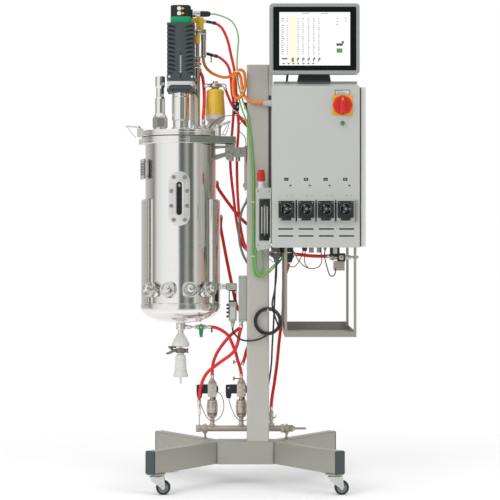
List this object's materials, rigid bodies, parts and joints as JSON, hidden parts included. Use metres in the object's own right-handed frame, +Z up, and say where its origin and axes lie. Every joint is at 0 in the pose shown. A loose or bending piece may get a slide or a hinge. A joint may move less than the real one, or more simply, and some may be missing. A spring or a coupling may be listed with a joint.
{
  "type": "stand-mounted bioreactor",
  "caption": "Jacketed steel fermenter vessel with a top drive on a castor stand, with a control cabinet, pump row, screen, bottle shelf and a condensate header",
  "frame": {"origin": "on the floor, under the middle of the whole machine without its hoses and cables", "axes": "+Z up, the front (doors and screen) towards -Y, the vessel on the left at -X and the cabinet on the right at +X"},
  "size_m": [0.8456, 0.5992, 1.718],
  "materials": {
    "brushed_steel": "brushed stainless steel",
    "polished_steel": "polished stainless steel",
    "painted_grey": "light grey powder coat",
    "black_metal": "anthracite coated casting",
    "black_plastic": "moulded black plastic",
    "grey_plastic": "moulded grey plastic",
    "white_plastic": "turned white polymer",
    "red_plastic": "moulded red plastic",
    "yellow_plastic": "moulded yellow plastic",
    "amber_plastic": "amber polymer housing",
    "green_plastic": "green moulded grip",
    "zinc": "bright zinc plate",
    "tyre": "soft black tyre on a grey hub",
    "window": "clear pane over the dark interior",
    "seal": "moulded flat seal",
    "red_hose": "smooth red hose",
    "orange_cable": "orange cable jacket",
    "green_cable": "green jacket with a yellow stripe",
    "black_cable": "black cable jacket"
  },
  "bodies": {
    "machine": {"base_frame": "brushed_steel", "column": "brushed_steel", "vessel_arm": "brushed_steel", "vessel": "polished_steel", "jacket": "polished_steel", "sight_glass_frame": "brushed_steel", "sight_glass_pane": "window", "lid": "polished_steel", "lid_gasket": "seal", "bearing_housing": "polished_steel", "drive_motor": "black_metal", "motor_encoder": "black_plastic", "condenser": "polished_steel", "inlet_pipe": "polished_steel", "valve_head": "yellow_plastic", "air_filter": "amber_plastic", "drain_valve": "polished_steel", "drain_cone": "white_plastic", "drain_cup": "white_plastic", "transmitter": "grey_plastic", "cabinet": "painted_grey", "cabinet_side_cover": "painted_grey", "pump_bank": "black_plastic", "flow_meter": "window", "monitor_stand": "black_metal", "shelf": "brushed_steel", "manifold": "brushed_steel", "hose_valve_upper": "red_hose", "hose_valve_lower": "red_hose", "hose_trap": "red_hose", "hose_condensate": "red_hose", "hose_drain": "red_hose", "hose_supply": "red_hose", "sensor_cable": "orange_cable", "sensor_cable_hank": "orange_cable", "sensor_cable_tail": "orange_cable", "earth_lead": "green_cable", "probe_cable": "black_cable", "probe_cable_coil": "black_cable"},
    "caster_front_left": {"caster_fork_front_left": "zinc"},
    "wheel_front_left": {"caster_wheel_front_left": "tyre"},
    "caster_front_right": {"caster_fork_front_right": "zinc"},
    "wheel_front_right": {"caster_wheel_front_right": "tyre"},
    "caster_rear_left": {"caster_fork_rear_left": "zinc"},
    "wheel_rear_left": {"caster_wheel_rear_left": "tyre"},
    "caster_rear_right": {"caster_fork_rear_right": "zinc"},
    "wheel_rear_right": {"caster_wheel_rear_right": "tyre"},
    "stirrer": {"stirrer_shaft": "polished_steel"},
    "rotor_1": {"pump_rotor_1": "grey_plastic"},
    "rotor_2": {"pump_rotor_2": "grey_plastic"},
    "rotor_3": {"pump_rotor_3": "grey_plastic"},
    "rotor_4": {"pump_rotor_4": "grey_plastic"},
    "isolator": {"switch_knob": "red_plastic"},
    "needle_valve": {"flow_meter_knob": "black_plastic"},
    "regulator": {"regulator_knob": "red_plastic"},
    "drain_lever": {"drain_handle": "green_plastic"},
    "latch_left": {"latch_bail_left": "zinc"},
    "latch_right": {"latch_bail_right": "zinc"},
    "screen": {"monitor": "grey_plastic"},
    "float": {"flow_meter_float": "black_plastic"}
  },
  "joints": [
    {"name": "caster_swivel_front_left", "type": "hinge", "parent": "machine", "child": "caster_front_left", "pos_m": [-0.2992, -0.263, 0.06], "axis": [0, 0, 1], "continuous": true},
    {"name": "caster_roll_front_left", "type": "hinge", "parent": "caster_front_left", "child": "wheel_front_left", "pos_m": [-0.2742, -0.263, 0.025], "axis": [0, 1, 0], "continuous": true},
    {"name": "caster_swivel_front_right", "type": "hinge", "parent": "machine", "child": "caster_front_right", "pos_m": [0.3128, -0.263, 0.06], "axis": [0, 0, 1], "continuous": true},
    {"name": "caster_roll_front_right", "type": "hinge", "parent": "caster_front_right", "child": "wheel_front_right", "pos_m": [0.3378, -0.263, 0.025], "axis": [0, 1, 0], "continuous": true},
    {"name": "caster_swivel_rear_left", "type": "hinge", "parent": "machine", "child": "caster_rear_left", "pos_m": [-0.2992, 0.263, 0.06], "axis": [0, 0, 1], "continuous": true},
    {"name": "caster_roll_rear_left", "type": "hinge", "parent": "caster_rear_left", "child": "wheel_rear_left", "pos_m": [-0.2742, 0.263, 0.025], "axis": [0, 1, 0], "continuous": true},
    {"name": "caster_swivel_rear_right", "type": "hinge", "parent": "machine", "child": "caster_rear_right", "pos_m": [0.3128, 0.263, 0.06], "axis": [0, 0, 1], "continuous": true},
    {"name": "caster_roll_rear_right", "type": "hinge", "parent": "caster_rear_right", "child": "wheel_rear_right", "pos_m": [0.3378, 0.263, 0.025], "axis": [0, 1, 0], "continuous": true},
    {"name": "stirrer_spin", "type": "hinge", "parent": "machine", "child": "stirrer", "pos_m": [-0.2262, 0, 1], "axis": [0, 0, 1], "continuous": true},
    {"name": "pump_spin_1", "type": "hinge", "parent": "machine", "child": "rotor_1", "pos_m": [0.1482, -0.2795, 0.9797], "axis": [0, 1, 0], "continuous": true},
    {"name": "pump_spin_2", "type": "hinge", "parent": "machine", "child": "rotor_2", "pos_m": [0.2158, -0.2795, 0.9797], "axis": [0, 1, 0], "continuous": true},
    {"name": "pump_spin_3", "type": "hinge", "parent": "machine", "child": "rotor_3", "pos_m": [0.2834, -0.2795, 0.9797], "axis": [0, 1, 0], "continuous": true},
    {"name": "pump_spin_4", "type": "hinge", "parent": "machine", "child": "rotor_4", "pos_m": [0.351, -0.2795, 0.9797], "axis": [0, 1, 0], "continuous": true},
    {"name": "isolator_turn", "type": "hinge", "parent": "machine", "child": "isolator", "pos_m": [0.3414, -0.25, 1.3365], "axis": [0, 1, 0], "range_deg": [0, 90]},
    {"name": "needle_valve_turn", "type": "hinge", "parent": "machine", "child": "needle_valve", "pos_m": [0.0743, -0.1493, 0.886], "axis": [0, 1, 0], "range_deg": [0, 720]},
    {"name": "regulator_turn", "type": "hinge", "parent": "machine", "child": "regulator", "pos_m": [0.0623, -0.125, 1.0804], "axis": [0, 0, 1], "range_deg": [0, 1080]},
    {"name": "drain_turn", "type": "hinge", "parent": "machine", "child": "drain_lever", "pos_m": [-0.1522, -0.0095, 0.56], "axis": [0, 1, 0], "range_deg": [0, 90]},
    {"name": "latch_left_swing", "type": "hinge", "parent": "machine", "child": "latch_left", "pos_m": [-0.3762, 0, 1.278], "axis": [0, -1, 0], "range_deg": [-110, 4]},
    {"name": "latch_right_swing", "type": "hinge", "parent": "machine", "child": "latch_right", "pos_m": [-0.08917, -0.06101, 1.278], "axis": [0.4067, 0.9136, 0], "range_deg": [-90, 4]},
    {"name": "monitor_tilt", "type": "hinge", "parent": "machine", "child": "screen", "pos_m": [0.2465, -0.16, 1.5007], "axis": [1, 0, 0], "range_deg": [-15, 5]},
    {"name": "float_rise", "type": "slide", "parent": "machine", "child": "float", "axis": [0, 0, 1], "range_m": [0, 0.101]}
  ]
}
